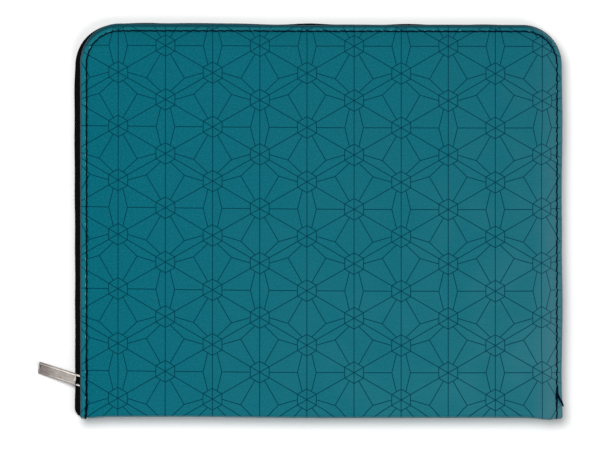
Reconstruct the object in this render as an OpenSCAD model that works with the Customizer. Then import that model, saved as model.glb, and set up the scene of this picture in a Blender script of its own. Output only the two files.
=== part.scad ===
// Zip-around tablet case: two padded covers joined by a folded spine, closed on three sides by a
// coil zip that sits back between the cover rims. Millimetres. The case lies closed on its back
// cover: +Z is up through the covers, +Y runs from the fold to the far edge, and the origin is the
// middle of the back cover's outer face.

/* [Tablet] */
// Long side of the tablet that the case holds
tablet_w = 241.2; // [200:0.2:300]
// Short side of the tablet that the case holds
tablet_h = 185.8; // [170:0.2:220]
// Thickness of the tablet that the case holds
tablet_t = 9.4; // [8:0.1:14]

/* [Room in the case] */
// From the tablet's ends to the side edges of the covers
side_room = 13.4; // [13:0.1:20]
// From the tablet to the far edge of the covers
far_room = 11; // [10.6:0.1:18]
// From the fold to the tablet, where a pen lies
fold_room = 21.2; // [21:0.1:40]
// Between the corner straps and the pockets
inside_room = 1.6; // [1:0.1:6]
// Radius of the two corners away from the fold
corner_r = 22; // [16:1:34]

/* [Cover layers] */
// Thickness of the outer skin
skin_t = 1; // [0.8:0.1:1.5]
// Thickness of the padding under the skin
padding_t = 1.1; // [0.6:0.1:2.5]
// Thickness of the stiffening board
board_t = 1.4; // [1:0.1:2.5]
// Thickness of the lining, and of the skin's turned-in hem that it butts against
lining_t = 0.8; // [0.5:0.1:1.2]
// Width of the skin's turned-in hem
hem_w = 6; // [5:0.5:7]
// Rounding of the outer edge
edge_r = 1.6; // [1:0.1:2]
// Rounding of the inner edge of the hem
hem_edge_r = 0.6; // [0.3:0.1:0.8]

/* [Seam] */
// Distance of the seam from the cover's edge
seam_inset = 3.5; // [2.5:0.1:4.5]
// Diameter of the sewing thread
thread_d = 0.5; // [0.3:0.05:0.6]
// Width of the groove that the thread lies in
groove_w = 0.9; // [0.8:0.1:1.4]

/* [Spine] */
// Gap between a cover's skin and the bead of the fold
fold_gap = 0.25; // [0.2:0.05:0.5]
// Thickness of the lining inside the spine
spine_lining_t = 0.6; // [0.4:0.1:1]
// Distance from the fold to the stiffening board and padding
board_start = 6; // [2.5:0.5:8]

/* [Zip] */
// Distance of the teeth line from the cover's edge
zip_recess = 7.6; // [7.5:0.1:8]
// Thickness of the woven tape
tape_t = 0.5; // [0.4:0.1:0.7]
// How far the tape's sewn edge stands out past the cover's edge
tape_peek = 0.6; // [0.2:0.1:1]
// Distance from the fold to the start of the tape
tape_start = 2.2; // [2:0.1:4]
// Thickness of a row of teeth, across the tape
teeth_t = 2; // [1.8:0.1:2.2]
// Height of a row of teeth
teeth_h = 2.6; // [2:0.1:3]
// Gap between the two rows, which the slider's wedge runs in
teeth_gap = 1.2; // [1.1:0.1:1.6]
// Distance from the fold to the end stops
stop_start = 3.5; // [3:0.5:5]
// Length of an end stop
stop_l = 2.5; // [2:0.5:4]
// Thickness of an end stop
stop_t = 2.6; // [2.2:0.1:2.8]

/* [Slider] */
// Distance from the fold to the middle of the slider
slider_pos = 18.4; // [14:0.1:120]
// Length of the slider
slider_l = 11; // [9:0.5:14]
// Width of the slider at its two throats
slider_w = 9; // [8.6:0.2:10]
// Width of the slider at its tail
slider_tail_w = 7.2; // [7:0.2:8]
// Thickness of the slider's outer plate
slider_plate_t = 1.2; // [1:0.1:1.3]
// Thickness of the slider's inner plate
slider_inner_t = 1; // [0.8:0.1:1.2]
// Gap between the teeth and each plate
slider_clear = 0.15; // [0.1:0.05:0.25]
// Thickness of the wedge that parts the teeth
wedge_t = 0.8; // [0.6:0.1:0.9]
// Length of the wedge
wedge_l = 3; // [2:0.5:4]
// Height of the hole under the bridge
bridge_hole_h = 1.7; // [1.7:0.1:2]
// Length of the hole under the bridge
bridge_hole_l = 2.4; // [2.2:0.1:2.6]
// Thickness of the bridge
bridge_t = 0.8; // [0.6:0.1:0.9]
// Width of the bridge
bridge_w = 1.4; // [1:0.1:1.5]

/* [Pull] */
// Wire diameter of the link between the slider and the pull
link_d = 1; // [0.8:0.1:1.1]
// Radius of the link's round ends, to the middle of the wire
link_r = 1.7; // [1.7:0.1:2]
// Room that the pull has to swing in, between its pivot bar and the bridge
pull_room = 0.85; // [0.8:0.05:1]
// Length of the pull, from its pivot bar to its tip
pull_l = 27.4; // [22:0.2:34]
// Width of the pull
pull_w = 7.2; // [6.4:0.1:7.2]
// Thickness of the pull
pull_t = 1.6; // [1.4:0.1:1.8]
// Diameter of the pull's pivot bar
pull_bar_d = 1.2; // [1:0.1:1.3]
// Width of each rail beside the pull's eye
pull_rail_w = 0.9; // [0.8:0.1:1.2]
// Length of the pull's eye
pull_eye_l = 4.2; // [2.4:0.1:6]
// Width of the raised border around the pull's face
pull_border_w = 0.9; // [0.6:0.1:1.4]
// Depth of the face inside that border
pull_face_depth = 0.3; // [0.2:0.05:0.5]
// Angle of the pull towards the far edge of the case, at rest
pull_swing = 17; // [0:0.5:20]
// Angle that the pull is rolled about its length at rest, its far edge up
pull_roll = 34; // [0:1:40]

/* [Corner straps] */
// Room between the tablet and each strap
strap_room = 0.3; // [0.2:0.1:0.6]
// Thickness of a strap
strap_t = 0.8; // [0.5:0.1:1]
// Width of a strap
strap_w = 12; // [8:1:16]
// Distance along the tablet's edges from its corner to the middle of a strap
strap_reach = 26; // [20:1:34]

/* [Pockets] */
// Thickness of a pocket's fabric
pocket_t = 0.8; // [0.5:0.1:0.9]
// Slit between a pocket and what is behind it
pocket_slit = 0.3; // [0.2:0.1:0.4]
// Width of the sewn edge round a pocket
pocket_seam_w = 3; // [2:0.5:5]
// Distance of the document pocket from the covers' side edges
document_inset = 16; // [14:1:30]
// Distance of the document pocket from the fold
document_start = 7; // [5:1:12]
// Height of the document pocket
document_h = 142; // [100:2:150]
// Width of the card pockets
card_w = 94; // [92:1:100]
// Height of the lower card pocket
card_h = 46; // [40:1:58]
// How much higher the upper card pocket reaches
card_step = 18; // [10:1:26]
// Distance of the card pockets from the document pocket's left and lower edges
card_margin = 11; // [6:1:20]

/* [Pen loop] */
// Inner radius of the pen loop
pen_r = 4.75; // [4:0.05:5]
// Thickness of the elastic of the pen loop
pen_loop_t = 0.75; // [0.5:0.05:1]
// Length of the pen loop
pen_loop_l = 40; // [20:1:60]
// Thickness of the foot under the pen loop
pen_foot_t = 0.8; // [0.5:0.1:0.9]
// Width of the foot under the pen loop
pen_foot_w = 9; // [6:1:11]
// Distance from the fold to the middle of the pen loop
pen_loop_pos = 10.5; // [9:0.5:12]
// Distance from the left edge of the covers to the pen loop
pen_loop_inset = 29; // [20:1:40]

/* [Hidden] */
$fn = 96;

skin_color = "#0d7782";
black_cloth = "#1a1a1c";
black_thread = "#0c1a24";
board_color = "#8c8577";
foam_color = "#3c3d40";
nickel = "#b9b2ab";

layer_fit = 0.1; // room around a layer inside the skin
link_play = 0.35; // room between the link and the pull's pivot bar
over = 1; // how far a cutting shape runs past what it cuts

cover_t = skin_t + padding_t + board_t + lining_t;
pocket_step = pocket_slit + pocket_t;
pocket_layers = 3;
strap_top = tablet_t + strap_room + strap_t;
case_w = tablet_w + 2 * side_room;
case_h = tablet_h + far_room + fold_room;
case_t = 2 * cover_t + strap_top + inside_room + pocket_layers * pocket_step;
fold_y = -case_h / 2;
skin_start = fold_y + skin_t + fold_gap;
corner_x = case_w / 2 - corner_r;
corner_y = case_h / 2 - corner_r;
rim_w = edge_r + 1;
groove_d = thread_d + 0.05;
inner_face = case_t / 2 - cover_t; // from the middle of the case to a cover's inner face
teeth_top = teeth_gap / 2 + teeth_h; // from the middle of the case to the far side of a row of teeth
teeth_start = fold_y + stop_start + stop_l + 0.05;
slider_y = fold_y + slider_pos;

plate_in = teeth_t / 2 + slider_clear; // from the teeth's middle plane to each plate of the slider
plate_out = plate_in + slider_plate_t;
bridge_bar = plate_out + bridge_hole_h;
link_pivot = plate_out + 0.2 + link_d / 2;
link_inner_center = link_pivot + link_r;
pull_pivot = bridge_bar + bridge_t + pull_room + pull_bar_d / 2;
link_outer_center = pull_pivot + pull_bar_d / 2 + link_play + link_d / 2 - link_r;
// The pull droops until its lowest corner is this near to the surface that the case lies on
pull_lift = 0.3;
pull_low = pull_w / 2 * sin(pull_roll) + pull_t / 2 * cos(pull_roll);
pull_droop = asin((case_t / 2 - pull_low - pull_lift) / pull_l);

tablet_y = case_h / 2 - far_room - tablet_h / 2;
document_w = case_w - 2 * document_inset;
document_y = fold_y + document_start;
card_x = card_margin - document_w / 2;
card_y = document_y + card_margin;
pen_loop_r = pen_r + pen_loop_t;
pen_loop_x = pen_loop_inset - case_w / 2;
pen_loop_y = fold_y + pen_loop_pos;
pen_loop_z = cover_t + pen_foot_t / 2 + pen_loop_r;

// Puts a piece drawn on a cover, with z = 0 on its inner face and z = cover_t on its outer face, in place
module on_front() {
    translate([0, 0, case_t - cover_t]) children();
}
module on_back() {
    translate([0, 0, cover_t]) mirror([0, 0, 1]) children();
}

// Outline of a cover, drawn in by inset on its three free sides and cut straight at y = start
module cover_outline(inset, start) {
    translate([inset - case_w / 2, start])
        square([case_w - 2 * inset, corner_y - start]);
    translate([-corner_x, corner_y - over])
        square([2 * corner_x, corner_r - inset + over]);
    for (side = [-1, 1])
        translate([side * corner_x, corner_y]) circle(corner_r - inset);
}

module cover_layer(inset, start, z, thickness) {
    translate([0, 0, z]) linear_extrude(thickness) cover_outline(inset, start);
}

// Sweeps a profile round the three free sides. In the profile x is the distance in from the cover's edge
module along_edge(start) {
    for (side = [0, 1]) mirror([side, 0, 0]) {
        translate([-case_w / 2, corner_y, 0])
            rotate([90, 0, 0]) linear_extrude(corner_y - start) children();
        translate([-corner_x, corner_y, 0]) rotate([0, 0, 90])
            rotate_extrude(angle = 90) translate([corner_r, 0]) mirror([1, 0]) children();
    }
    rotate([0, 0, -90]) translate([-case_h / 2, corner_x, 0])
        rotate([90, 0, 0]) linear_extrude(2 * corner_x) children();
}

// Cross-section of the rim, with its outer and inner edges rounded
module rim_profile() {
    translate([edge_r, 0]) square([rim_w - edge_r, cover_t]);
    translate([0, hem_edge_r]) square([edge_r, cover_t - edge_r - hem_edge_r]);
    translate([hem_edge_r, 0]) square([edge_r - hem_edge_r, cover_t - edge_r]);
    translate([edge_r, cover_t - edge_r]) circle(edge_r);
    translate([hem_edge_r, hem_edge_r]) circle(hem_edge_r);
}

// Outer skin, wrapped round the rim and turned in as a hem, with a groove pressed in by the seam
module skin() {
    color(skin_color) difference() {
        union() {
            along_edge(skin_start) rim_profile();
            cover_layer(rim_w, skin_start, 0, cover_t);
        }
        cover_layer(skin_t, skin_start - over, lining_t, cover_t - skin_t - lining_t);
        cover_layer(hem_w, skin_start - over, -over, over + lining_t);
        along_edge(skin_start - over)
            translate([seam_inset - groove_w / 2, cover_t - groove_d])
            square([groove_w, groove_d + over]);
    }
}

module padding() {
    color(foam_color)
        cover_layer(skin_t + layer_fit, fold_y + board_start, cover_t - skin_t - padding_t, padding_t);
}

module board() {
    color(board_color)
        cover_layer(skin_t + layer_fit, fold_y + board_start, lining_t, board_t);
}

module lining() {
    color(black_cloth)
        cover_layer(hem_w + layer_fit, fold_y + board_start, 0, lining_t);
}

module seam_thread() {
    color(black_thread) along_edge(skin_start)
        translate([seam_inset, cover_t - thread_d / 2]) circle(d = thread_d, $fn = 24);
}

// Tape: a flat strip sewn to the hem, then a wall down to the teeth
module zip_tape() {
    wall_in = zip_recess - tape_t / 2;
    color(black_cloth) union() {
        along_edge(fold_y + tape_start)
            translate([-tape_peek, -tape_t]) square([wall_in + tape_t + tape_peek, tape_t]);
        along_edge(fold_y + stop_start)
            translate([wall_in, teeth_top - inner_face])
            square([tape_t, inner_face - tape_t - teeth_top]);
    }
}

module zip_teeth() {
    color(black_cloth) along_edge(teeth_start)
        translate([zip_recess - teeth_t / 2, teeth_gap / 2 - inner_face]) square([teeth_t, teeth_h]);
}

// One crimped stop at each end of the row
module zip_stops() {
    for (side = [-1, 1]) color(nickel)
        translate([
            side * (case_w / 2 - zip_recess) - stop_t / 2,
            fold_y + stop_start,
            teeth_gap / 2 - inner_face
        ])
        cube([stop_t, stop_l, teeth_h]);
}

// Elastic band over one corner of the tablet: side_x and side_y are -1 or 1
module corner_strap(side_x, side_y) {
    room = [tablet_w + 2 * strap_room, tablet_h + 2 * strap_room, tablet_t + strap_room];
    shell = room + [2 * strap_t, 2 * strap_t, strap_t];
    band_l = 2 * strap_reach + over;
    color(black_cloth) translate([0, tablet_y, cover_t]) intersection() {
        difference() {
            translate([-shell[0] / 2, -shell[1] / 2, 0]) cube(shell);
            translate([-room[0] / 2, -room[1] / 2, -over]) cube(room + [0, 0, over]);
        }
        translate([side_x * (tablet_w - strap_reach) / 2, side_y * (tablet_h - strap_reach) / 2, 0])
            rotate([0, 0, -45 * side_x * side_y])
            translate([-band_l / 2, -strap_w / 2, -over])
            cube([band_l, strap_w, strap_top + 2 * over]);
    }
}

// Elastic tube on a flat foot
module pen_loop() {
    color(black_cloth) translate([pen_loop_x, pen_loop_y, 0]) difference() {
        union() {
            translate([0, 0, pen_loop_z]) rotate([0, 90, 0]) cylinder(r = pen_loop_r, h = pen_loop_l);
            translate([0, -pen_foot_w / 2, cover_t]) cube([pen_loop_l, pen_foot_w, pen_foot_t]);
        }
        translate([-over, 0, pen_loop_z]) rotate([0, 90, 0])
            cylinder(r = pen_r, h = pen_loop_l + 2 * over);
    }
}

// A flat panel sewn down along its sides and its foot and open at the top. Layer 1 is sewn to the
// lining, and each further layer to the one before it
module pocket(layer, position, size) {
    seam = pocket_seam_w;
    color(black_cloth) translate([position[0], position[1], -layer * pocket_step]) difference() {
        cube([size[0], size[1], pocket_step]);
        translate([seam, seam, pocket_t]) cube([size[0] - 2 * seam, size[1], pocket_step]);
    }
}

// Skin of the spine: a flat strip with a round bead along each fold
module spine_skin() {
    color(skin_color) {
        translate([-case_w / 2, fold_y, skin_t / 2]) cube([case_w, skin_t, case_t - skin_t]);
        for (z = [skin_t / 2, case_t - skin_t / 2])
            translate([-case_w / 2, fold_y + skin_t / 2, z])
            rotate([0, 90, 0]) cylinder(d = skin_t, h = case_w);
    }
}

module spine_lining() {
    end = cover_t + tape_t + layer_fit;
    color(black_cloth) translate([hem_w - case_w / 2, fold_y + skin_t, end])
        cube([case_w - 2 * hem_w, spine_lining_t, case_t - 2 * end]);
}

// Puts a piece drawn about the slider's middle in place. There +X points out of the case
module at_slider() {
    translate([zip_recess - case_w / 2, slider_y, case_t / 2]) mirror([1, 0, 0]) children();
}

// Turns a piece about the link's pivot, to the angle that the pull lies at
module swung() {
    translate([link_pivot, 0, 0]) rotate([0, 0, pull_swing]) translate([-link_pivot, 0, 0]) children();
}

// One plate of the slider, its throats towards the fold and its tail towards the far edge
module slider_plate(thickness) {
    chamfer = 1;
    half_l = slider_l / 2;
    rotate([90, 0, 90]) linear_extrude(thickness) polygon([
        [-half_l, chamfer - slider_w / 2], [chamfer - half_l, -slider_w / 2],
        [0, -slider_w / 2], [half_l - chamfer, -slider_tail_w / 2],
        [half_l, chamfer - slider_tail_w / 2], [half_l, slider_tail_w / 2 - chamfer],
        [half_l - chamfer, slider_tail_w / 2], [0, slider_w / 2],
        [chamfer - half_l, slider_w / 2], [-half_l, slider_w / 2 - chamfer]
    ]);
}

// The arch that the link hooks round
module slider_bridge() {
    foot_l = bridge_hole_l + 2 * bridge_t;
    height = bridge_hole_h + bridge_t;
    translate([plate_out, 0, -bridge_w / 2]) linear_extrude(bridge_w) difference() {
        union() {
            translate([0, -foot_l / 2]) square([height - bridge_t, foot_l]);
            translate([0, -foot_l / 2 + bridge_t]) square([height, foot_l - 2 * bridge_t]);
            for (side = [-1, 1])
                translate([height - bridge_t, side * (foot_l / 2 - bridge_t)]) circle(bridge_t);
        }
        translate([-over, -bridge_hole_l / 2]) square([bridge_hole_h + over, bridge_hole_l]);
    }
}

module zip_slider() {
    rim_t = 0.8;
    tape_slot = tape_t + 0.4;
    rim_z = -teeth_top - 0.3 - rim_t;
    color(nickel) at_slider() union() {
        translate([plate_in, 0, 0]) slider_plate(slider_plate_t);
        translate([-plate_in - slider_inner_t, 0, 0]) slider_plate(slider_inner_t);
        translate([-plate_in, 1 - slider_l / 2, -wedge_t / 2]) cube([2 * plate_in, wedge_l, wedge_t]);
        slider_bridge();
        // Rims that keep the back cover's teeth in; the front side stays open
        for (side = [0, 1]) mirror([side, 0, 0])
            translate([tape_slot / 2, 1 - slider_l / 2, rim_z])
            cube([plate_in - tape_slot / 2, slider_l / 2 - 1, rim_t]);
    }
}

// Oval ring of round wire, standing upright between the bridge and the pull
module pull_link() {
    straight = link_outer_center - link_inner_center;
    color(nickel) at_slider() swung() {
        for (end = [[link_inner_center, 90], [link_outer_center, -90]])
            translate([end[0], 0, 0]) rotate([90, 0, 0]) rotate([0, 0, end[1]])
            rotate_extrude(angle = 180) translate([link_r, 0]) circle(d = link_d, $fn = 32);
        for (z = [-link_r, link_r])
            translate([link_inner_center, 0, z]) rotate([0, 90, 0])
            cylinder(d = link_d, h = straight, $fn = 32);
    }
}

// The pull's face, inside its raised border
module pull_face() {
    start = pull_bar_d / 2 + pull_eye_l + pull_border_w;
    translate([start, pull_border_w - pull_w / 2])
        square([pull_l - pull_border_w - start, pull_w - 2 * pull_border_w]);
}

// Flat metal pull: a pivot bar, an eye between two rails, and a long plate
module pull_tab() {
    eye_end = pull_bar_d / 2 + pull_eye_l;
    eye_w = pull_w - 2 * pull_rail_w;
    color(nickel) at_slider() swung()
        translate([pull_pivot, 0, 0]) rotate([0, pull_droop, 0]) rotate([pull_roll, 0, 0]) {
        rotate([90, 0, 0]) cylinder(d = pull_bar_d, h = pull_w, center = true, $fn = 32);
        difference() {
            translate([0, -pull_w / 2, -pull_t / 2]) cube([pull_l, pull_w, pull_t]);
            translate([-over, -eye_w / 2, -pull_t]) cube([over + eye_end, eye_w, 2 * pull_t]);
            for (face = [0, 1]) mirror([0, 0, face])
                translate([0, 0, pull_t / 2 - pull_face_depth]) linear_extrude(over) pull_face();
        }
    }
}

on_back() skin();  // back_skin
on_back() padding();  // back_padding
on_back() board();  // back_board
on_back() lining();  // back_lining
on_back() seam_thread();  // back_seam_thread
on_back() zip_tape();  // back_zip_tape
on_back() zip_teeth();  // back_zip_teeth
on_back() zip_stops();  // back_zip_stops
corner_strap(-1, 1);  // strap_top_left
corner_strap(1, 1);  // strap_top_right
corner_strap(-1, -1);  // strap_bottom_left
corner_strap(1, -1);  // strap_bottom_right
pen_loop();
on_front() skin();  // front_skin
on_front() padding();  // front_padding
on_front() board();  // front_board
on_front() lining();  // front_lining
on_front() seam_thread();  // front_seam_thread
on_front() zip_tape();  // front_zip_tape
on_front() zip_teeth();  // front_zip_teeth
on_front() zip_stops();  // front_zip_stops
on_front() pocket(1, [-document_w / 2, document_y], [document_w, document_h]);  // document_pocket
on_front() pocket(2, [card_x, card_y], [card_w, card_h + card_step]);  // card_pocket_upper
on_front() pocket(3, [card_x, card_y], [card_w, card_h]);  // card_pocket_lower
spine_skin();
spine_lining();
zip_slider();
pull_link();
pull_tab();
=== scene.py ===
"""Looks of the zip-around tablet case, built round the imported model. Lengths in this script are in
millimetres in the same frame as the CAD, and are turned into metres where a mesh is made."""

import functools
import itertools
import random
from bisect import bisect_left
from math import asin, cos, dist, exp, pi, radians, sin, sqrt

import bmesh
import bpy
import numpy as np
from mathutils import Matrix, Vector

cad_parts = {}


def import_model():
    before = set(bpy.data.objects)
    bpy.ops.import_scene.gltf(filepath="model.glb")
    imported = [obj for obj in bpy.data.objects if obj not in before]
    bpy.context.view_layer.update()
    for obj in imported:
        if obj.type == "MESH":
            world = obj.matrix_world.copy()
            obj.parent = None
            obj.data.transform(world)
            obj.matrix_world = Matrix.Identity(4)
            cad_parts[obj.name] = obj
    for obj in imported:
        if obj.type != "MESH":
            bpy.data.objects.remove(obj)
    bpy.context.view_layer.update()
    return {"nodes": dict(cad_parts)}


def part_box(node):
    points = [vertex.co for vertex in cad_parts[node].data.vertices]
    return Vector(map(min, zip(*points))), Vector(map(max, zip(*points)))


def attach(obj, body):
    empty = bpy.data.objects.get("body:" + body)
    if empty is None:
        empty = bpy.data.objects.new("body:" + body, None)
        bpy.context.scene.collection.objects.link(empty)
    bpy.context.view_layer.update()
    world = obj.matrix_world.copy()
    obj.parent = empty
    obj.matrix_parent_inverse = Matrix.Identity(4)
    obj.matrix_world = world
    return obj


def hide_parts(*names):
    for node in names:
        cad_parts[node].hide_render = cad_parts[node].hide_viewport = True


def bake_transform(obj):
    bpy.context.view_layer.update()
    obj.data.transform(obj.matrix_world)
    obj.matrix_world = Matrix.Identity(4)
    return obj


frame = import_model()

MM = 0.001
QUARTER, TURN = pi / 2, 2 * pi


def box_mm(node):
    low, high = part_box(node)
    return low / MM, high / MM


# Sizes that the looks share with the CAD
HALF_W, FAR_Y, COVER_T = box_mm("back_skin")[1]
FOLD_Y = box_mm("spine_skin")[0].y
TOP_Z = box_mm("front_skin")[1].z
MID_Z = TOP_Z / 2
CORNER_R = 22.0
CORNER_X, CORNER_Y = HALF_W - CORNER_R, FAR_Y - CORNER_R
SKIN_T = 1.0
HEM_W = 6.0
SEAM_INSET = 3.5
SEAM_RIGHT = 0.8  # how much nearer to the edge the seam lies on the right side
STITCH_PITCH = 4.8
TEETH_INSET = 7.6
TEETH_FAR = 3.2  # from the middle of the case to the far side of a row of teeth
FOLD_R = 2.0
# Flat y at the middle of the spine, where the front cover's half of the printed sheet meets the back's
SPINE_FLAT = FOLD_Y - MID_Z + (2 - QUARTER) * FOLD_R
PULL_SWING, PULL_ROLL = radians(17), radians(34)
PULL_L, PULL_W, PULL_T = 27.4, 7.2, 1.6
PULL_LOW = PULL_W / 2 * sin(PULL_ROLL) + PULL_T / 2 * cos(PULL_ROLL)
PULL_ROOM = 0.3  # from the pull's lowest corner to the surface that the case lies on
PULL_DROOP = asin((MID_Z - PULL_LOW - PULL_ROOM) / PULL_L)
EYE_END = 4.2  # where the pull's eye ends and its plate starts


# -------- meshes

def ramp(low, high, x):
    """Rises smoothly from 0 at low to 1 at high. low may be the larger of the two."""
    t = min(max((x - low) / (high - low), 0.0), 1.0)
    return t * t * (3 - 2 * t)


def bump_at(x, middle, width, height):
    return height * exp(-((x - middle) / width) ** 2)


def spread(low, high, count):
    """Evenly spaced values from low to high, with count steps between them."""
    return [low + (high - low) * k / count for k in range(count + 1)]


def running_length(points):
    """Distance along a line of points to each of them."""
    return itertools.accumulate((dist(p, q) for p, q in zip(points, points[1:])), initial=0.0)


def squared_circle(angle, radius):
    """A point of a circle that is pressed into a square of 2 by 2."""
    return [max(-1.0, min(1.0, radius * c)) for c in (cos(angle), sin(angle))]


def add_object(name, data):
    obj = bpy.data.objects.new(name, data)
    bpy.context.scene.collection.objects.link(obj)
    return obj


class Builder:
    """Collects points, their flattened coordinates and faces for one mesh."""

    def __init__(self):
        self.verts, self.uvs, self.faces = [], [], []

    def point(self, co, uv):
        self.verts.append(tuple(co))
        self.uvs.append(tuple(uv))
        return len(self.verts) - 1

    def face(self, ring, flip=False):
        self.faces.append(tuple(ring[::-1] if flip else ring))

    def rows(self, rows, closed=False, flip=False):
        """Faces between neighbouring rows of points. closed joins each row's last point to its first."""
        rows = [row[::-1] if flip else row for row in rows]
        for a, b in zip(rows, rows[1:]):
            count = len(a)
            for k in range(count if closed else count - 1):
                n = (k + 1) % count
                self.face((a[k], a[n], b[n], b[k]))

    def sheet(self, outer, inner):
        """A sheet with an edge all round, from the two grids of points on its faces."""
        self.rows(outer)
        self.rows(inner, flip=True)
        for end, flip in ((0, False), (-1, True)):
            self.rows([[row[end] for row in outer], [row[end] for row in inner]], flip=flip)
            self.rows([outer[end], inner[end]], flip=not flip)

    def pipe(self, rings, flip=False):
        """A solid through rings of points, with a face at each end."""
        self.rows(rings, closed=True, flip=flip)
        self.face(rings[0], not flip)
        self.face(rings[-1], flip)

    def tube(self, points, radii, sides=8, uv_start=0.0):
        """A round tube along points, with one radius for each of them."""
        points = [Vector(p) for p in points]
        rings, side = [], (points[1] - points[0]).orthogonal()
        for i, (p, radius, run) in enumerate(zip(points, radii, running_length(points))):
            ahead = (points[min(i + 1, len(points) - 1)] - points[max(i - 1, 0)]).normalized()
            side = (side - ahead * side.dot(ahead)).normalized()
            other = ahead.cross(side)
            rings.append([
                self.point(p + (side * cos(a) + other * sin(a)) * radius, (uv_start + run, a * radius))
                for a in spread(0, TURN, sides)[:-1]
            ])
        self.pipe(rings)

    def piece(self, name, material, slot, side="front"):
        """Makes a smooth piece. One of the back cover is what was built for the front one, turned over."""
        verts, uvs, faces = self.verts, self.uvs, self.faces
        if side == "back":
            verts = [(x, y, max(2 * MID_Z - z, 0.0)) for x, y, z in verts]
            uvs = [(u, 2 * SPINE_FLAT - v) for u, v in uvs]
            faces = [face[::-1] for face in faces]
        mesh = bpy.data.meshes.new(name)
        mesh.from_pydata([(x * MM, y * MM, z * MM) for x, y, z in verts], [], faces)
        layer = mesh.uv_layers.new(name="flat")
        index = np.empty(len(mesh.loops), np.int32)
        mesh.loops.foreach_get("vertex_index", index)
        flat = np.array(uvs, float)[index] * MM
        layer.data.foreach_set("uv", flat.astype(np.float32).ravel())
        mesh.validate()
        mesh.shade_smooth()
        mesh.materials.append(material)
        obj = add_object(name, mesh)
        return obj


def face_outwards(obj, rims=()):
    """Turns every face of a piece outwards. rims are pairs of loops of points to fill between first."""
    bm = bmesh.new()
    bm.from_mesh(obj.data)
    bm.verts.ensure_lookup_table()
    for rim in rims:
        edges = [
            bm.edges.get((bm.verts[a], bm.verts[b]))
            for loop in rim for a, b in zip(loop, loop[1:] + loop[:1])
        ]
        bmesh.ops.triangle_fill(bm, edges=edges, use_beauty=True)
    bmesh.ops.recalc_face_normals(bm, faces=bm.faces)
    bm.to_mesh(obj.data)
    bm.free()


def on_corner(side, t):
    """Place and inward direction on the round edge of the left (-1) or the right (1) corner. t runs from
    0 to 1 round each, clockwise as seen from above."""
    a = QUARTER * t
    n = (cos(a), -sin(a)) if side < 0 else (-sin(a), -cos(a))
    return (side * CORNER_X - CORNER_R * n[0], CORNER_Y - CORNER_R * n[1]), n


def sides_of(inward):
    """How much a place on the edge belongs to the left, the right and the far side, each from 0 to 1."""
    return max(inward[0], 0.0), max(-inward[0], 0.0), max(-inward[1], 0.0)


def edge_path(start, step, radius_at=0.0):
    """Points round a cover's three free sides, from the fold up the left side and down the right side.
    Each has its place on the edge, the direction in from it, and its distance along the path, which is
    measured radius_at in from the edge."""
    side_l, arc_l, top_l = CORNER_Y - start, QUARTER * (CORNER_R - radius_at), 2 * CORNER_X
    stretches = (
        (side_l, lambda t: ((-HALF_W, start + side_l * t), (1, 0))),
        (arc_l, lambda t: on_corner(-1, t)),
        (top_l, lambda t: ((top_l * t - CORNER_X, FAR_Y), (0, -1))),
        (arc_l, lambda t: on_corner(1, t)),
        (side_l, lambda t: ((HALF_W, CORNER_Y - side_l * t), (-1, 0))),
    )
    path, along = [], 0.0
    for length, place_at in stretches:
        count = round(length / step)
        path += [(*place_at(i / count), along + length * i / count) for i in range(count)]
        along += length
    return path + [(*place_at(1.0), along)]


def walk(path, along):
    """The last point of an edge path before a distance along it, and how far past that point it is."""
    k = min(bisect_left(path, along, key=lambda point: point[2]), len(path) - 1)
    place, inward, start = path[max(k - 1, 0)]
    return place, inward, along - start


def beside(place, inward, inset, ahead=0.0):
    """The point that lies inset in from a place on the edge and ahead of it along the path."""
    (x, y), (nx, ny) = place, inward
    return x + nx * inset - ny * ahead, y + ny * inset + nx * ahead


# -------- materials

class Value:
    """An output of a shader's node, which can be used in sums."""

    def __init__(self, nodes, socket):
        self.nodes, self.socket = nodes, socket

    def __add__(self, other):
        return self.nodes.math("ADD", self, other)

    def __sub__(self, other):
        return self.nodes.math("SUBTRACT", self, other)

    def __rsub__(self, other):
        return self.nodes.math("SUBTRACT", other, self)

    def __mul__(self, other):
        return self.nodes.math("MULTIPLY", self, other)

    def __abs__(self):
        return self.nodes.math("ABSOLUTE", self)


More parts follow.
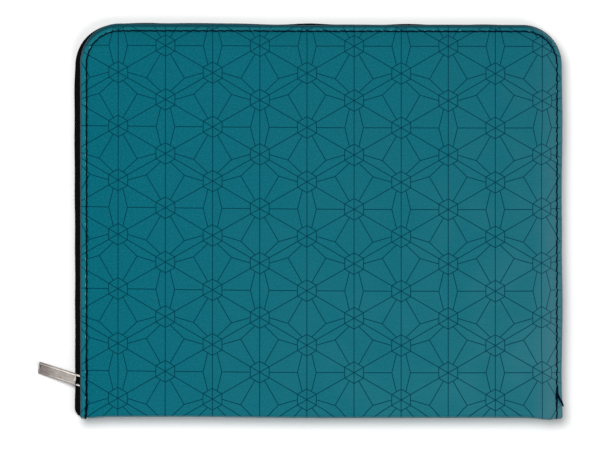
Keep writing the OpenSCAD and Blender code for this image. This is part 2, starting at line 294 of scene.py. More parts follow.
class Nodes:
    """The node tree of a material or a world, built with short calls that take Values and numbers."""

    def __init__(self, owner, output="OutputMaterial"):
        owner.use_nodes = True
        self.tree = owner.node_tree
        self.tree.nodes.clear()
        self.out = self.tree.nodes.new("ShaderNode" + output)

    def put(self, socket, value):
        if isinstance(value, Value):
            self.tree.links.new(value.socket, socket)
        else:
            socket.default_value = value

    def surface(self, value):
        self.put(self.out.inputs["Surface"], value)

    def node(self, kind, inputs, out=0, **settings):
        """Adds a node and gives one of its outputs."""
        made = self.tree.nodes.new("ShaderNode" + kind)
        for name, value in settings.items():
            setattr(made, name, value)
        for name, value in inputs.items():
            self.put(made.inputs[name], value)
        return Value(self, made.outputs[out])

    def math(self, operation, a, b=0.0, c=0.0):
        return self.node("Math", {0: a, 1: b, 2: c}, operation=operation)

    def least(self, *values):
        return functools.reduce(lambda a, b: self.math("MINIMUM", a, b), values)

    def most(self, *values):
        return functools.reduce(lambda a, b: self.math("MAXIMUM", a, b), values)

    def vector(self, operation, a, b=(0, 0, 0), c=(0, 0, 0), scale=1.0, out=0):
        return self.node("VectorMath", {0: a, 1: b, 2: c, 3: scale}, out, operation=operation)

    def length(self, vector):
        return self.vector("LENGTH", vector, out="Value")

    def split(self, vector):
        made = self.node("SeparateXYZ", {"Vector": vector}).socket.node
        return [Value(self, socket) for socket in made.outputs]

    def join(self, x, y):
        return self.node("CombineXYZ", {"X": x, "Y": y})

    def mix(self, factor, a, b, kind="RGBA"):
        """Mix of two colours, or with kind VECTOR of two vectors."""
        return self.node("Mix", {"Factor": factor, "A": a, "B": b}, "Result", data_type=kind)

    def layers(self, base, *layers):
        """Lays colours over a base, each given as (how strongly, colour)."""
        for factor, colour in layers:
            base = self.mix(factor, base, colour)
        return base

    def remap(self, value, low, high, to_low=0.0, to_high=1.0, smooth=True):
        inputs = {"Value": value, "From Min": low, "From Max": high, "To Min": to_low, "To Max": to_high}
        return self.node("MapRange", inputs, interpolation_type="SMOOTHSTEP" if smooth else "LINEAR")

    def wave(self, value, pitch):
        return self.math("SINE", value * (TURN / pitch))

    def noise(self, co, scale, detail=2.0, roughness=0.5, stretch=None):
        """Noise whose features are about 1/scale millimetres across, from 0 to 1."""
        if stretch:
            co = self.vector("MULTIPLY", co, stretch)
        inputs = {"Vector": co, "Scale": scale, "Detail": detail, "Roughness": roughness}
        return self.node("TexNoise", inputs)


class Shader(Nodes):
    """A material with one Principled BSDF."""

    def __init__(self, name, **values):
        self.material = bpy.data.materials.new(name)
        super().__init__(self.material)
        bsdf = self.node("BsdfPrincipled", {})
        self.bsdf = bsdf.socket.node
        self.surface(bsdf)
        self.set(**values)

    def set(self, **values):
        for name, value in values.items():
            self.put(self.bsdf.inputs[name.replace("_", " ")], value)

    def flat(self):
        """The flattened coordinates of the piece, in millimetres."""
        return self.vector("SCALE", self.node("UVMap", {}, uv_map="flat"), scale=1 / MM)

    def object_mm(self):
        """The piece's own coordinates, in millimetres."""
        return self.vector("SCALE", self.node("TexCoord", {}, "Object"), scale=1 / MM)

    def done(self, colour, height, distance, strength):
        """Gives the material its colour, and bump whose full height is distance, in millimetres."""
        inputs = {"Height": height, "Distance": distance * MM, "Strength": strength}
        self.set(Base_Color=colour, Normal=self.node("Bump", inputs))
        return self.material


def srgb(r, g, b):
    """An 8-bit screen colour as the linear colour that a shader takes."""
    def line(v):
        v /= 255
        return v / 12.92 if v <= 0.04045 else ((v + 0.055) / 1.055) ** 2.4
    return line(r), line(g), line(b), 1.0


PRINT_CELL = 30.25  # side of the triangles in the printed lattice
PRINT_ORIGIN = (-113.1, 52.4, 0)  # middle of one star
ROW = sqrt(3) / 2


def print_distance(s, co):
    """Distance, in cells, to the nearest line of the printed star-and-hexagon lattice. Each star is cut
    into 12 equal wedges, and one wedge holds all the lines."""
    q = s.vector("SCALE", s.vector("SUBTRACT", co, PRINT_ORIGIN), scale=1 / PRINT_CELL)
    half, back = (ROW, 1.5, 1.0), (-ROW, -1.5, -1.0)
    first = s.vector("WRAP", q, half, back)
    second = s.vector("WRAP", s.vector("ADD", q, (ROW, 1.5, 0)), half, back)
    nearer = s.math("GREATER_THAN", s.length(first), s.length(second))
    q = s.mix(nearer, first, second, "VECTOR")
    x, y, _ = s.split(q)
    radius = s.length(s.vector("MULTIPLY", q, (1, 1, 0)))
    wedge = pi / 6
    angle = abs(s.math("WRAP", s.math("ARCTAN2", y, x) - wedge, wedge, -wedge))
    x, y = radius * s.math("COSINE", angle), radius * s.math("SINE", angle)
    along, across = x * ROW + y * 0.5, y * ROW - x * 0.5
    point = s.join(x, y)

    def to_segment(a, b):
        ab = (b[0] - a[0], b[1] - a[1], 0)
        ap = s.vector("SUBTRACT", point, (*a, 0))
        t = s.math("DIVIDE", s.vector("DOT_PRODUCT", ap, ab, out="Value"), ab[0] ** 2 + ab[1] ** 2)
        foot = s.vector("SCALE", ab, scale=s.node("Clamp", {"Value": t}))
        return s.length(s.vector("SUBTRACT", ap, foot))

    hexagon = 0.2 * ROW  # from the star's middle to the sides of the hexagon in it
    spoke_end = 0.695
    knee = (spoke_end * ROW, spoke_end * 0.5)
    spoke = s.length(s.join(across, s.most(hexagon - along, along - spoke_end, 0.0)))
    leg, arm = to_segment(knee, (0.85, 0.0866)), to_segment((0.8, 0), (0.9, 0.1732))
    return s.least(y, abs(along - hexagon), spoke, leg, arm, abs(along - ROW))


def askew(s, co, place):
    """The print doesn't lie quite true: it is a little off to the right, its rows sag at the left, and it
    is drawn in by the right edge. place is co as if on the front cover."""
    x, y, _ = s.split(s.vector("MULTIPLY", place, (1 / 56, -1 / 90, 0)))
    right = x * (y * 0.04 + 0.08) + (y * -0.045 + 0.23)
    from_middle = x - 1.5
    sag = (y * (y * -0.045 + 0.033) + 0.12) * (from_middle * from_middle)
    up = y * 0.11 + 0.7 - sag
    drawn_in = s.remap(x, 2.07, 2.2) * s.remap(y, -0.63, -0.44) * s.remap(y, 0.98, 0.75) * 0.5
    return s.vector("ADD", co, s.join((right - drawn_in) * -1.0, up - drawn_in))


def edge_distance(s, co):
    """Distance in from the edge that the flat panel would have with round corners at its far end."""
    x, y, _ = s.split(co)
    past_corner = s.join(s.most(abs(x) - CORNER_X, 0.0), s.most(y - CORNER_Y, 0.0))
    return CORNER_R - s.length(past_corner)


def printed_leatherette():
    s = Shader("printed_leatherette", Specular_IOR_Level=0.25, Specular_Tint=(0.03, 0.75, 0.9, 1.0))
    co = s.flat()
    x, y, _ = s.split(co)
    # The back cover takes its wear and shade from the same place on the front cover
    y = abs(y - SPINE_FLAT) + SPINE_FLAT
    place = s.join(x, y)
    edge = edge_distance(s, place)
    line = s.remap(print_distance(s, askew(s, co, place)), 0.0052, 0.0105, 1.0, 0.0)
    cloud = s.noise(co, 0.035, 3.0)
    fleck = s.noise(co, 1.0, 4.0, 0.65)
    streak = s.noise(co, 0.9, 2.0, 0.6, stretch=(0.08, 1.0, 1.0))

    def to_fold(at_far, at_fold):
        """Runs evenly from one number at the far edge to another at the fold."""
        return s.remap(y, FAR_Y, FOLD_Y, at_far, at_fold, smooth=False)

    # Painted sheen: the colour pales towards the right, most of all at the fold, and more again by the
    # right edge, where it also veils the print's lines
    painted_sheen = s.remap(x, -HALF_W, HALF_W, smooth=False) * to_fold(0.2, 1.0)
    right_edge_sheen = s.remap(x, 116, 134) * s.remap(y, FAR_Y, FOLD_Y, 0.35, 0.9)
    # Painted highlight: the strip outside the seam is a little paler, with painted glints where the needle
    # lifted the skin
    rim_strip_highlight = s.remap(edge, 2.6, 3.2, 0.45, 0.0) * s.remap(x, 60, 120, 1.0, 0.4)
    by_seam = s.remap(abs(edge - (SEAM_INSET - 0.66)), 0.12, 0.42, 1.0, 0.0)
    needle_glint = s.remap(s.wave(x + y, STITCH_PITCH), 0.0, 0.7) * s.remap(s.noise(co, 0.3, 1.0), 0.42, 0.58)
    # Painted shade and sheen on the turned-over edge: a blue grey, darker at the far side and lighter at
    # the right side
    turned_over = s.remap(edge_distance(s, s.vector("ADD", place, (0, 0.9, 0))), -0.2, 0.9, 1.0, 0.0)
    edge_shade_and_sheen = s.layers(
        srgb(52, 80, 98),
        (s.remap(y, CORNER_Y, FAR_Y - 5), srgb(12, 58, 72)),
        (s.remap(x, CORNER_X, HALF_W - 5), srgb(84, 122, 132)),
    )
    # The fold is paler, partly rubbed wear and partly a painted highlight
    at_fold = s.remap(y, FOLD_Y - 1.6, FOLD_Y - 0.6) * s.remap(y, FOLD_Y + 1.1, FOLD_Y + 0.1)
    colour = s.layers(
        srgb(0, 91, 107),
        (painted_sheen, srgb(46, 113, 124)),
        # Painted sheen: a grey veil towards the right and the fold, and a brighter teal towards the fold
        (s.remap(x, 55, HALF_W) * to_fold(0.35, 1.0) * 0.07, srgb(110, 112, 124)),
        (to_fold(0.0, 0.1), srgb(0, 140, 158)),
        (s.remap(cloud, 0.35, 0.65) * 0.4, srgb(6, 98, 114)),
        (s.remap(fleck, 0.42, 0.66) * 0.36, srgb(38, 130, 142)),
        (right_edge_sheen * 0.75, srgb(78, 122, 132)),
        (s.remap(streak, 0.45, 0.75) * 0.15, srgb(14, 82, 96)),
        # Painted shade: a little darker in a band in from the far edge
        (s.remap(y, FAR_Y - 16, FAR_Y - 4, 0.0, 0.12), srgb(0, 40, 52)),
        (rim_strip_highlight, srgb(34, 124, 128)),
        (line * (0.94 - right_edge_sheen * 0.3), srgb(0, 38, 58)),
        (by_seam * needle_glint * 0.5, srgb(122, 218, 232)),
        (turned_over * s.remap(fleck, 0.2, 0.7, 0.75, 0.95), edge_shade_and_sheen),
        (at_fold * s.remap(x, -90, 20, 0.8, 0.45), srgb(128, 152, 156)),
    )
    s.set(Roughness=s.remap(fleck, 0.2, 0.8, 0.56, 0.7))
    cells = s.node("TexVoronoi", {"Vector": co, "Scale": 1.9}, "Distance", feature="DISTANCE_TO_EDGE")
    height = s.remap(cells, 0.0, 0.25) * 0.5 + s.noise(co, 2.6, 3.0) * 0.5 - line * 0.9
    return s.done(colour, height, 0.05, 0.5)


def woven(name, dark, light, pitch, sheen=0.3, height=0.06, ribs=0.0):
    """Plain woven cloth. ribs, where given, is the pitch of ribs across the piece."""
    s = Shader(name, Roughness=0.85, Specular_IOR_Level=0.1, Sheen_Weight=sheen, Sheen_Roughness=0.5)
    co = s.flat()
    u, v, _ = s.split(co)
    weave = s.wave(u, pitch) * s.wave(v, pitch)
    fuzz = s.noise(co, 3.0 / pitch)
    wear = s.noise(co, 0.05, 3.0)
    tone = (s.remap(weave, -1.0, 1.0, 0.0, 0.55) + fuzz * 0.35) * s.remap(wear, 0.3, 0.7, 0.75, 1.1)
    lift = weave * 0.5 + fuzz * 0.5
    if ribs:
        lift = lift + s.wave(v, ribs) * 1.6
    return s.done(s.mix(tone, dark, light), lift, height, 0.8)


def sewing_thread():
    s = Shader("sewing_thread", Roughness=0.6, Specular_IOR_Level=0.06, Specular_Tint=(0.3, 0.6, 1.0, 1.0))
    co = s.flat()
    along, around, _ = s.split(co)
    ply = s.math("SINE", along * 9.0 + around * 4.0)
    tone = s.remap(ply, -0.4, 1.0, 0.0, 0.7) + s.noise(co, 4.0) * 0.2
    return s.done(s.mix(tone, srgb(0, 3, 18), srgb(0, 24, 52)), ply, 0.08, 0.8)


def nylon():
    s = Shader("nylon_coil", Roughness=0.38)
    tone, grain = s.noise(s.object_mm(), 0.8), s.noise(s.object_mm(), 6.0)
    return s.done(s.mix(tone, srgb(10, 10, 12), srgb(30, 30, 34)), grain, 0.02, 0.5)


def nickel(name, grain=None, pull=False):
    """Plated metal with brushed streaks, worn a little in patches. On the pull, painted shade darkens its
    sides, the crease inside its border, the plate's end by the eye, its lower border and its tip, and
    painted highlights brighten the plate towards the eye and the eye's rails."""
    s = Shader(name, Metallic=1.0)
    co = s.object_mm()
    streak = s.noise(co, 2.2, 3.0, 0.6, stretch=grain)
    tone = streak * 0.7 + s.noise(co, 0.35) * 0.5
    base = s.mix(s.remap(tone, 0.4, 0.8), srgb(200, 189, 181), srgb(250, 244, 237))
    if pull:
        along, across, height = s.split(co)
        inset = s.least(PULL_W / 2 - abs(across), s.least(PULL_L - along, along - EYE_END))
        crease = s.remap(abs(inset - 1.1), 0.12, 0.42, 1.0, 0.0) * s.remap(across, -1.5, 1.5, 0.1, 1.0)
        side = s.remap(abs(height), 0.55, 0.72, 0.5, 0.0)
        end = s.remap(along - EYE_END, 0.05, 0.5, 0.8, 0.0)
        on_plate = s.math("GREATER_THAN", along, EYE_END - 0.1)
        low_border_shade = s.remap(inset, 1.0, 0.7) * s.remap(across, 0.0, -1.0)
        base = s.layers(
            base,
            # Painted highlight on the plate towards the eye
            (s.remap(along, EYE_END + 10, EYE_END, 0.0, 0.45), srgb(244, 240, 232)),
            # Painted shade towards the tip
            (s.remap(along, PULL_L - 13, PULL_L - 1, 0.0, 0.78), srgb(132, 120, 122)),
            # Painted shade on the lower border
            (low_border_shade * 0.75, srgb(120, 112, 112)),
            # Painted shade on the plate's sides, in the crease inside its border and at its end by the eye
            (s.most(crease, side, end) * on_plate, srgb(78, 68, 62)),
            # Painted highlight on the eye's rails
            (s.remap(along, EYE_END - 1, EYE_END, 0.7, 0.0), srgb(236, 234, 232)),
        )
    s.set(Roughness=s.remap(streak, 0.3, 0.7, 0.24, 0.42))
    return s.done(base, streak, 0.02, 0.5)


def foam():
    s = Shader("foam", Roughness=0.95)
    cells = s.node("TexVoronoi", {"Vector": s.object_mm(), "Scale": 2.5}, "Distance")
    return s.done(s.mix(cells, srgb(40, 41, 44), srgb(80, 81, 84)), cells, 0.1, 0.8)


def fibreboard():
    s = Shader("fibreboard", Roughness=0.9)
    fibres = s.noise(s.object_mm(), 0.8, 4.0, 0.6, stretch=(1.0, 0.2, 1.0))
    return s.done(s.mix(fibres, srgb(118, 108, 92), srgb(158, 148, 130)), fibres, 0.08, 0.6)


LEATHERETTE = printed_leatherette()
LINING = woven("lining_cloth", srgb(14, 14, 17), srgb(48, 48, 54), 0.55)
ELASTIC = woven("elastic", srgb(12, 12, 14), srgb(44, 44, 48), 0.5, ribs=1.3, height=0.1)
TAPE = woven("zip_tape_cloth", srgb(1, 1, 2), srgb(10, 10, 12), 0.6, sheen=0.0, ribs=1.2)
COIL = nylon()
THREAD = sewing_thread()
NICKEL = nickel("nickel")
BRUSHED = nickel("nickel_brushed", grain=(0.06, 1, 1), pull=True)
FOAM = foam()
BOARD = fibreboard()


# -------- covers

# Cross-section of a cover's skin, from the inner end of its hem out round the rim and over the top:
# (distance in from the edge, depth below the outer face)
RIM = [
    (6.0, 4.3), (4.5, 4.3), (2.5, 4.3), (1.2, 4.27), (0.55, 4.1), (0.15, 3.7), (0.0, 3.1), (0.0, 2.1),
    (0.08, 1.4), (0.34, 0.72), (0.8, 0.26), (1.35, 0.02), (1.9, -0.06), (2.4, 0.0), (2.8, 0.14),
    (3.15, 0.42), (3.5, 0.58), (3.85, 0.44), (4.2, 0.22), (4.8, 0.09), (5.8, 0.02), (7.5, -0.02),
    (10.0, -0.04), (14.0, -0.04),
]
TOP_START = 7  # first point of RIM on the outer side of its widest point
CREST = 0.6  # features of the section down to this depth keep their shape where the skin thins
PUCKER, PUCKER_NEAR, PUCKER_FAR = 0.08, 3.6, 8.0  # how deep the stitches pull the skin, and where
ROW_STEP = 1.2  # between the panel's rows of points
# Middle, width and height of each place where the rim swells along the right side
RIGHT_SWELLS = ((54, 24, 0.5), (-48, 26, 0.6), (FOLD_Y, 14, 0.55))


def flat_insets():
    """Distance in from the edge of each point of RIM once the skin is laid out flat."""
    flat = [u for u, _ in RIM]
    seam = max(k for k, u in enumerate(flat) if u <= SEAM_INSET)
    for k in reversed(range(seam)):
        flat[k] = flat[k + 1] - dist(RIM[k], RIM[k + 1])
    return flat


RIM_FLAT = flat_insets()


def rim_point(k, place, inward, seam, sharp=0.0):
    """Inset, depth and flat inset of a point of RIM at a place on the edge. The rim isn't quite true: the
    seam lies nearer to the edge on the right, the edge is rounder at the far side, and it swells a little
    at the far left corner and along the right side. seam is the distance along the seam, whose stitches
    pucker the skin, and sharp tightens the round outer edge."""
    u, depth = RIM[k]
    _, right, far = sides_of(inward)
    swell = 0.8 * min(1.2 * far, 1.0) * ramp(-20, -65, place[0])
    swell += right * sum(bump_at(place[1], *bump) for bump in RIGHT_SWELLS)
    new = u - swell * ramp(3.3, 0.5, u)
    if k >= TOP_START:
        fade = ramp(2.8, 1.0, u)
        new -= SEAM_RIGHT * right * (min(u / SEAM_INSET, 1.0) - ramp(SEAM_INSET, 7.5, u))
        new += 0.5 * far * ramp(2.1, 0.2, depth) * fade - sharp * u * fade
        depth *= 1 - sharp * fade
    if PUCKER_NEAR < u < PUCKER_FAR:
        share = (PUCKER_FAR - u) / (PUCKER_FAR - PUCKER_NEAR)
        depth += PUCKER * share * cos(TURN * seam / STITCH_PITCH)
    return new, depth, RIM_FLAT[k] + new - u


def fold_bulge(x, y, z, bulges):
    """How far the cover's rim and its slack stand out past the fold. bulges are the most that they do at
    the left end, at the right end and over the right half."""
    left, right, slack = bulges
    out = bump_at(x, 3.2 - HALF_W, 7, left) + bump_at(x, HALF_W - 7, 7, right)
    out += slack * ramp(-85, 5, x)
    near = ramp(FOLD_Y + 4.5, FOLD_Y + 0.5, y)
    return out * near * ramp(TOP_Z - 6, TOP_Z - FOLD_R, z)


def fold_rows():
    """The outer face's section from the middle of the spine up over the fold to the corners:
    (y, z, inward direction, thickness, flat y). Flat y is y itself on the panel."""
    rows = []
    wall_top = TOP_Z - FOLD_R
    for z in spread(MID_Z, wall_top, 5)[:-1]:
        bow = 0.15 * cos(QUARTER * (z - MID_Z) / (wall_top - MID_Z)) ** 2
        rows.append((FOLD_Y - bow, z, (1, 0), SKIN_T, SPINE_FLAT + z - MID_Z))
    for a in spread(0, QUARTER, 8):
        out, up = cos(a), sin(a)
        flat = SPINE_FLAT + wall_top - MID_Z + FOLD_R * a
        rows.append((FOLD_Y + FOLD_R * (1 - out), wall_top + FOLD_R * up, (out, -up), SKIN_T, flat))
    full = 6.2  # from the fold to where the cover has its full thickness
    for y in (2.5, 3.1, 3.8, 4.6, 5.4, full):
        thickness = SKIN_T + (COVER_T - SKIN_T) * (y - FOLD_R) / (full - FOLD_R)
        rows.append((FOLD_Y + y, TOP_Z, (0, -1), thickness, FOLD_Y + y))
    thick_y = FOLD_Y + full
    for y in spread(thick_y, CORNER_Y, int((CORNER_Y - thick_y) / ROW_STEP))[1:]:
        rows.append((y, TOP_Z, (0, -1), COVER_T, y))
    return rows


ROWS = fold_rows()
NEAR_FOLD = 20  # rows that the fold bends


def cover_skin(bulges):
    """Outer skin of one cover with its half of the spine, which bulges past the fold."""
    b = Builder()
    last = len(ROWS) - 1
    coarse = 4  # one point of the panel's grid for this many on the rim
    arc_count = 6 * coarse
    top_count = coarse * int(2 * CORNER_X / (coarse * ROW_STEP))
    coarse_rows = [*range(NEAR_FOLD), *range(NEAR_FOLD, last, coarse), last]
    columns = range(0, top_count + 1, coarse)
    xs = spread(-CORNER_X, CORNER_X, top_count)

    def section_point(row, x, depth):
        y, z, (ny, nz), thickness, _ = ROWS[row]
        if depth > CREST:
            depth = CREST + (depth - CREST) * (thickness - CREST) / (COVER_T - CREST)
        return x, y + ny * depth - fold_bulge(x, y, z, bulges), z + nz * depth

    def side_ring(row, side, seam):
        y, *_, flat_y = ROWS[row]
        sharp = (0.6 if side < 0 else 0.35) * ramp(FOLD_Y + 6, FOLD_Y + 1, y)
        ring = []
        for k in range(len(RIM)):
            u, depth, flat = rim_point(k, (side * HALF_W, y), (-side, 0), seam, sharp)
            co = section_point(row, side * (HALF_W - u), depth)
            ring.append(b.point(co, (side * (HALF_W - flat), flat_y)))
        return ring

    def plan_ring(place, inward, seam):
        ring = []
        for k in range(len(RIM)):
            u, depth, flat = rim_point(k, place, inward, seam)
            co = (*beside(place, inward, u), TOP_Z - depth)
            ring.append(b.point(co, beside(place, inward, flat)))
        return ring

    # The rim: a ring of points for each place round the edge, kept with its row and column in the panel's
    # grid, which has a point at only some of them
    stations = [((r, 0), side_ring(r, -1, ROWS[r][4])) for r in range(last + 1)]
    arc_seam = QUARTER * (CORNER_R - SEAM_INSET)

    def add_corner(side, column, seam):
        for k in range(1, arc_count):
            place, inward = on_corner(side, k / arc_count)
            key = None if k % coarse else (last, column)
            stations.append((key, plan_ring(place, inward, seam + arc_seam * k / arc_count)))

    add_corner(-1, 0, CORNER_Y)
    seam_middle = CORNER_Y + arc_seam + CORNER_X
    for k, x in enumerate(xs):
        stations.append(((last, k), plan_ring((x, FAR_Y), (0, -1), seam_middle + x)))
    add_corner(1, top_count, seam_middle + CORNER_X)
    for r in range(last, -1, -1):
        stations.append(((r, top_count), side_ring(r, 1, 2 * seam_middle - ROWS[r][4])))
    rings = [ring for _, ring in stations]
    b.rows(rings)

    # The panel inside the rim
    depth = RIM[-1][1]
    grid = {
        (r, c): b.point(section_point(r, xs[c], depth), (xs[c], ROWS[r][4]))
        for r in coarse_rows for c in columns
    }
    b.rows([[grid[r, c] for c in columns] for r in coarse_rows])
    # From the grid's edge to the rim. At a corner, both ends of a face are the same point of the grid
    marked = [i for i, (key, _) in enumerate(stations) if key in grid]
    for i, j in zip(marked, marked[1:]):
        ends = {grid[stations[i][0]]: None, grid[stations[j][0]]: None}
        b.face([*ends, *(rings[k][-1] for k in range(j, i - 1, -1))])

    # Inner side of the spine and the fold
    inner_ends = [ring[0] for ring in rings]
    b.rows([inner_ends[:NEAR_FOLD], inner_ends[:-NEAR_FOLD - 1:-1]])
    return b


def seam_stitches(rng, bulges, lock, sunk):
    """Stitches round the three free sides and a little way over the fold, each sunk at its ends into the
    leatherette. lock is how much the stitches that lock the seam's ends stand up, and sunk how far the
    whole seam lies below the outer face."""
    b = Builder()
    path = edge_path(FOLD_Y, 0.4, SEAM_INSET)
    path_l = path[-1][2]

    def at(along, inset, lift):
        (x, y), inward, ahead = walk(path, along)
        left, right, far = sides_of(inward)
        inset -= SEAM_RIGHT * right
        inset -= 0.6 * left * ramp(FOLD_Y + 9, FOLD_Y, y)
        inset -= 0.2 * far * ramp(-20, -50, x)
        lift -= 0.05 * right
        x, y = beside((x, y), inward, inset, ahead)
        z = TOP_Z + lift
        round_l = FOLD_R - min(along, path_l - along)
        if round_l > 0:
            a = round_l / FOLD_R
            y = FOLD_Y + FOLD_R - (FOLD_R + lift) * sin(a)
            z = TOP_Z - FOLD_R + (FOLD_R + lift) * cos(a)
        return x, y - fold_bulge(x, y, z, bulges), z

    def stitch(start, length, inset, radius, lift, slant):
        points, radii = [], []
        inset += rng.uniform(-0.06, 0.06)
        for t in spread(0, 1, 8):
            dip = max(abs(2 * t - 1) - 0.75, 0) / 0.25
            points.append(at(start + length * t, inset + slant * (t - 0.5), lift - sunk - 0.45 * dip ** 2))
            radii.append(radius * (1 - 0.2 * dip))
        b.tube(points, radii, uv_start=rng.uniform(0, 9))

    run_on = 1.2  # how far the seam runs on over the fold at each end
    count = int((path_l + 2 * run_on) / STITCH_PITCH)
    pitch = (path_l + 2 * run_on) / count
    for i in range(count):
        start = i * pitch - run_on + rng.uniform(-0.15, 0.15)
        stitch(start, pitch + 0.35 + rng.uniform(-0.25, 0.15), SEAM_INSET, 0.4, 0.0, 0.55)
    # The seam is locked at both ends, with stitches sewn over it
    for length, first, at_right in ((33, -run_on, False), (15.5, 5.0, True)):
        for wander, radius, slant, lift in ((0.35, 0.5, 0.25, 1.0), (0.42, 0.45, -0.25, 0.6)):
            along = first
            while along < length:
                step = rng.uniform(3.2, 4.6)
                start = path_l - along - step if at_right else along
                inset = SEAM_INSET + rng.uniform(-wander, wander)
                stitch(start, step - 0.2, inset, radius, lock * lift, slant)
                along += step
    return b


def thread_tail(b, rng):
    """Loose ends of the front seam's thread, bunched over the rim near its right end."""
    x0, y0 = HALF_W - SEAM_INSET + SEAM_RIGHT, FOLD_Y + 15.0
    for strand in range(5):
        reach, fan = rng.uniform(0.78, 1.0), rng.uniform(-0.35, 0.35)
        points, radii = [], []
        for t in spread(0, reach, 12):
            x = x0 + 5.2 * max(t - 0.2, 0.0) ** 1.2 + fan * sin(pi * t)
            y = y0 - 9.6 * t + 0.3 * sin(5 * t + strand)
            past_rim = max(x - HALF_W + 1.6, 0.0)
            z = TOP_Z + 0.1 + 0.35 * sin(pi * min(t * 1.6, 1)) - 0.26 * past_rim ** 2
            points.append((x, y, z))
            radii.append(0.5 + bump_at(t, 0.7, 0.12, 0.2) - 0.9 * max(t - 0.75, 0.0))
        b.tube(points, radii)


def bend_at_fold(obj, side):
    """Bakes a piece's place into its mesh, without bending it. It works out two points on the line through
    the hinge that halves the fold's angle, but nothing uses them."""
    ends = [(0, FOLD_Y + SKIN_T / 2 + d, TOP_Z - SKIN_T / 2 + d) for d in (0.8, -0.8)]
    if side == "back":
        ends = [(x, y, TOP_Z - z) for x, y, z in ends]
    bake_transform(obj)


def nodes_of(side, part):
    """The CAD nodes that a cover's piece replaces. The front cover's piece also takes the spine's."""
    return [side + "_" + part] + (["spine_" + part] if side == "front" else [])


# How far each cover bulges past the fold: at the left end, at the right end and over the right half
BULGES = {"front": (0.85, 1.25, 0.75), "back": (0.2, 0.3, 0.2)}

for side in BULGES:
    skin = cover_skin(BULGES[side]).piece(side + "_cover_skin", LEATHERETTE, "printed_leatherette", side)
    bend_at_fold(skin, side)
    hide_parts(*nodes_of(side, "skin"))

for side, seed, lock, sunk in (("front", 3, 0.16, 0.3), ("back", 4, 0.0, 0.42)):
    seam = seam_stitches(random.Random(seed), BULGES[side], lock, sunk)
    if side == "front":
        thread_tail(seam, random.Random(5))
    seam = seam.piece(side + "_seam_stitches", THREAD, "sewing_thread", side)
    bend_at_fold(seam, side)
    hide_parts(side + "_seam_thread")


# -------- zip

# Middle, width and height of each place where the tape bulges out past the far edge
TAPE_BULGES = ((-5, 12, 0.75), (49, 11, 0.53), (92, 8, 0.36))


def lip(place, inward, along, side):
    """How far the tape's edge stands out from under the cover's edge. The back tape's shows at the left."""
    if side == "front":
        return 0.1 + 0.08 * sin(along * 0.11)
    x, y = place
    left, right, far = sides_of(inward)
    out = 2.85 * left ** 1.9 + 0.4 * right ** 1.5 + 0.45 * far ** 1.5
    out += left * 0.3 * ramp(-40, 60, y)
    out -= left * 0.65 * ramp(72, 96, y) * ramp(-105, -125, x)
    out += far * 0.5 * ramp(-85, -115, x)
    out += far * 0.85 * ramp(-117, -93, x) * ramp(-15, -60, x)
    out += far * sum(bump_at(x, *bulge) for bulge in TAPE_BULGES)
    out += 0.06 * sin(along * 0.21 + 1)
    if inward[0] > 0.9:
        # The tape is cut off round at the fold
        out += bump_at(y, FOLD_Y + 8, 5, 0.15) - 1.7 * ramp(FOLD_Y + 4.5, FOLD_Y, y) ** 2
    return out


def zip_tape(side):
    """Woven tape: its edge shows past the rim, it lies along the hem, and turns down to the teeth."""
    b = Builder()
    half_t = 0.25
    rings = []
    for place, inward, along in edge_path(FOLD_Y + 0.3, 1.0):
        out = lip(place, inward, along, side)
        middle = [
            (-out, 0.55), (-out + 0.35, 0.42), (-out * 0.5 + 0.2, 0.3), (1.0, 0.27), (3.0, 0.27),
            (5.2, 0.27), (6.2, 0.34), (6.9, 0.62), (7.35, 1.1), (7.58, 1.9), (7.6, 3.2), (7.6, 4.8),
            (7.6, 6.0),
        ]
        upper, lower = [], []
        for k, (u, h) in enumerate(middle):
            (u0, h0), (u1, h1) = middle[max(k - 1, 0)], middle[min(k + 1, len(middle) - 1)]
            t = half_t * (1.35 if k < 2 else 1.0) / dist((u0, h0), (u1, h1))
            upper.append((u + (h1 - h0) * t, h - (u1 - u0) * t))
            lower.append((u - (h1 - h0) * t, h + (u1 - u0) * t))
        loop = [(-out - half_t, 0.55), *upper, *reversed(lower)]
        rings.append([
            b.point((*beside(place, inward, u), TOP_Z - COVER_T - h), (along, run))
            for (u, h), run in zip(loop, running_length(loop))
        ])
    b.pipe(rings, flip=True)
    obj = b.piece(side + "_tape", TAPE, "zip_tape_cloth", side)
    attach(obj, side + "_cover")
    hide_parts(side + "_zip_tape")


def zip_coil(side):
    """Coil of nylon wire wound round the tape's edge."""
    b = Builder()
    pitch, wire, turn_points = 1.35, 0.33, 12
    gap = 0.46  # from the middle of the case to the coil
    low, high = gap + wire, TEETH_FAR - wire
    path = edge_path(FOLD_Y + 6.3, 0.5, TEETH_INSET)  # starts just past the crimped stop
    total = path[-1][2]
    points = []
    for i in range(int(total / pitch) * turn_points + 1):
        wide, tall = squared_circle(TURN * i / turn_points, 1.18)
        place, inward, ahead = walk(path, min(pitch * i / turn_points, total))
        z = MID_Z + (low + high) / 2 + (high - low) / 2 * tall
        points.append((*beside(place, inward, TEETH_INSET + (1.0 - wire) * wide, ahead), z))
    b.tube(points, [wire] * len(points), sides=5)
    obj = b.piece(side + "_coil", COIL, "nylon_coil", side)
    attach(obj, side + "_cover")
    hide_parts(side + "_zip_teeth")


for side in ("front", "back"):
    zip_tape(side)
    zip_coil(side)


# -------- metal pull

LINK_PIVOT, PULL_PIVOT = 3.05, 6.3  # how far out from the teeth the link and the pull turn


